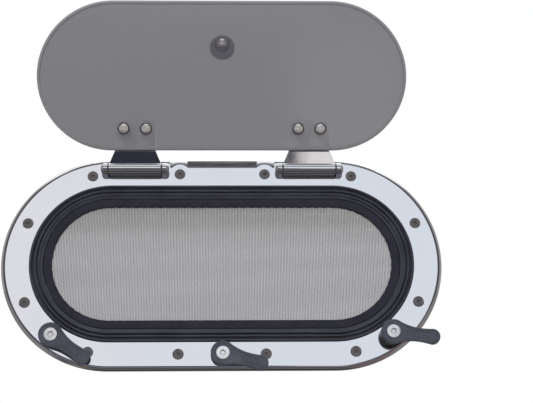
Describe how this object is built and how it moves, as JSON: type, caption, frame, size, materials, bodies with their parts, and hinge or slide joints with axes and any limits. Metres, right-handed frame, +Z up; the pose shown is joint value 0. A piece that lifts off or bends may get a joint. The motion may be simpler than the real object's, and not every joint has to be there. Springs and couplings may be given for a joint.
{
  "type": "opening porthole",
  "caption": "Stadium-shaped opening porthole with a polished steel flange, a hinged smoke-grey glass lid, clamping levers, a ridged rubber seal and a removable insect screen.",
  "frame": {"origin": "centre of the opening, on the flange's wall face", "axes": "+Y out through the wall and away from the cabin, +X along the porthole's length, +Z up with the hinges at the top"},
  "size_m": [0.44, 0.0888, 0.3765],
  "materials": {
    "polished_steel": "mirror-polished stainless steel",
    "plain_steel": "machined stainless steel, slightly dull",
    "bright_screw": "bright turned stainless steel",
    "seal_rubber": "moulded black rubber, satin",
    "pad_silicone": "pale silicone sheet",
    "screen_plastic": "dark slate plastic, satin",
    "screen_mesh": "woven grey wire, 18 by 16 to the inch",
    "tinted_glass": "smoke-grey toughened glass with a ground bevel",
    "black_nylon": "black moulded nylon",
    "lever_nylon": "slate-black glass-filled nylon, fine grain",
    "bush_brass": "turned brass",
    "thrust_washer": "thin stainless washer"
  },
  "bodies": {
    "frame": {"main_frame": "polished_steel", "spigot_ring": "plain_steel", "lever_bosses": "plain_steel", "flange_screws": "plain_steel", "hinge_lugs_left": "polished_steel", "hinge_lugs_right": "polished_steel", "hinge_pin_left": "polished_steel", "hinge_pin_right": "polished_steel", "hinge_washers_left": "black_nylon", "hinge_washers_right": "black_nylon", "rubber_seal": "seal_rubber"},
    "lid": {"lid_pane": "tinted_glass", "hinge_leaf_left": "polished_steel", "hinge_leaf_right": "polished_steel", "leaf_pad_left": "pad_silicone", "leaf_pad_right": "pad_silicone", "pane_bushes": "black_nylon", "hinge_screws_left": "bright_screw", "hinge_screws_right": "bright_screw", "pull_knob": "black_nylon", "knob_washer": "black_nylon", "knob_screw": "bright_screw"},
    "insect_screen": {"screen_front_ring": "screen_plastic", "insect_mesh": "screen_mesh", "screen_back_ring": "screen_plastic"},
    "left_pivot": {"lever_left_washer": "thrust_washer", "lever_left_screw": "bright_screw"},
    "left_lever": {"lever_left": "lever_nylon", "lever_left_bush": "bush_brass"},
    "centre_pivot": {"lever_centre_washer": "thrust_washer", "lever_centre_screw": "bright_screw"},
    "centre_lever": {"lever_centre": "lever_nylon", "lever_centre_bush": "bush_brass"},
    "right_pivot": {"lever_right_washer": "thrust_washer", "lever_right_screw": "bright_screw"},
    "right_lever": {"lever_right": "lever_nylon", "lever_right_bush": "bush_brass"}
  },
  "joints": [
    {"name": "lid_hinge", "type": "hinge", "parent": "frame", "child": "lid", "pos_m": [0, -0.012, 0.0961], "axis": [1, 0, 0], "range_deg": [-8, 168]},
    {"name": "screen_pull", "type": "slide", "parent": "frame", "child": "insect_screen", "axis": [0, 1, 0], "range_m": [-0.03, 0]},
    {"name": "left_pivot_height", "type": "slide", "parent": "frame", "child": "left_pivot", "axis": [0, -1, 0], "range_m": [0, 0.0095]},
    {"name": "left_lever_turn", "type": "hinge", "parent": "left_pivot", "child": "left_lever", "pos_m": [-0.16697, -0.0045, -0.07427], "axis": [0, -1, 0], "range_deg": [-110, 88.3]},
    {"name": "centre_pivot_height", "type": "slide", "parent": "frame", "child": "centre_pivot", "axis": [0, -1, 0], "range_m": [0, 0.0095]},
    {"name": "centre_lever_turn", "type": "hinge", "parent": "centre_pivot", "child": "centre_lever", "pos_m": [0.0008, -0.0045, -0.093], "axis": [0, -1, 0], "range_deg": [-120, 105.4]},
    {"name": "right_pivot_height", "type": "slide", "parent": "frame", "child": "right_pivot", "axis": [0, -1, 0], "range_m": [-0.009, 0.0005]},
    {"name": "right_lever_turn", "type": "hinge", "parent": "right_pivot", "child": "right_lever", "pos_m": [0.16697, -0.0045, -0.07427], "axis": [0, -1, 0], "range_deg": [-60, 135.2]}
  ]
}
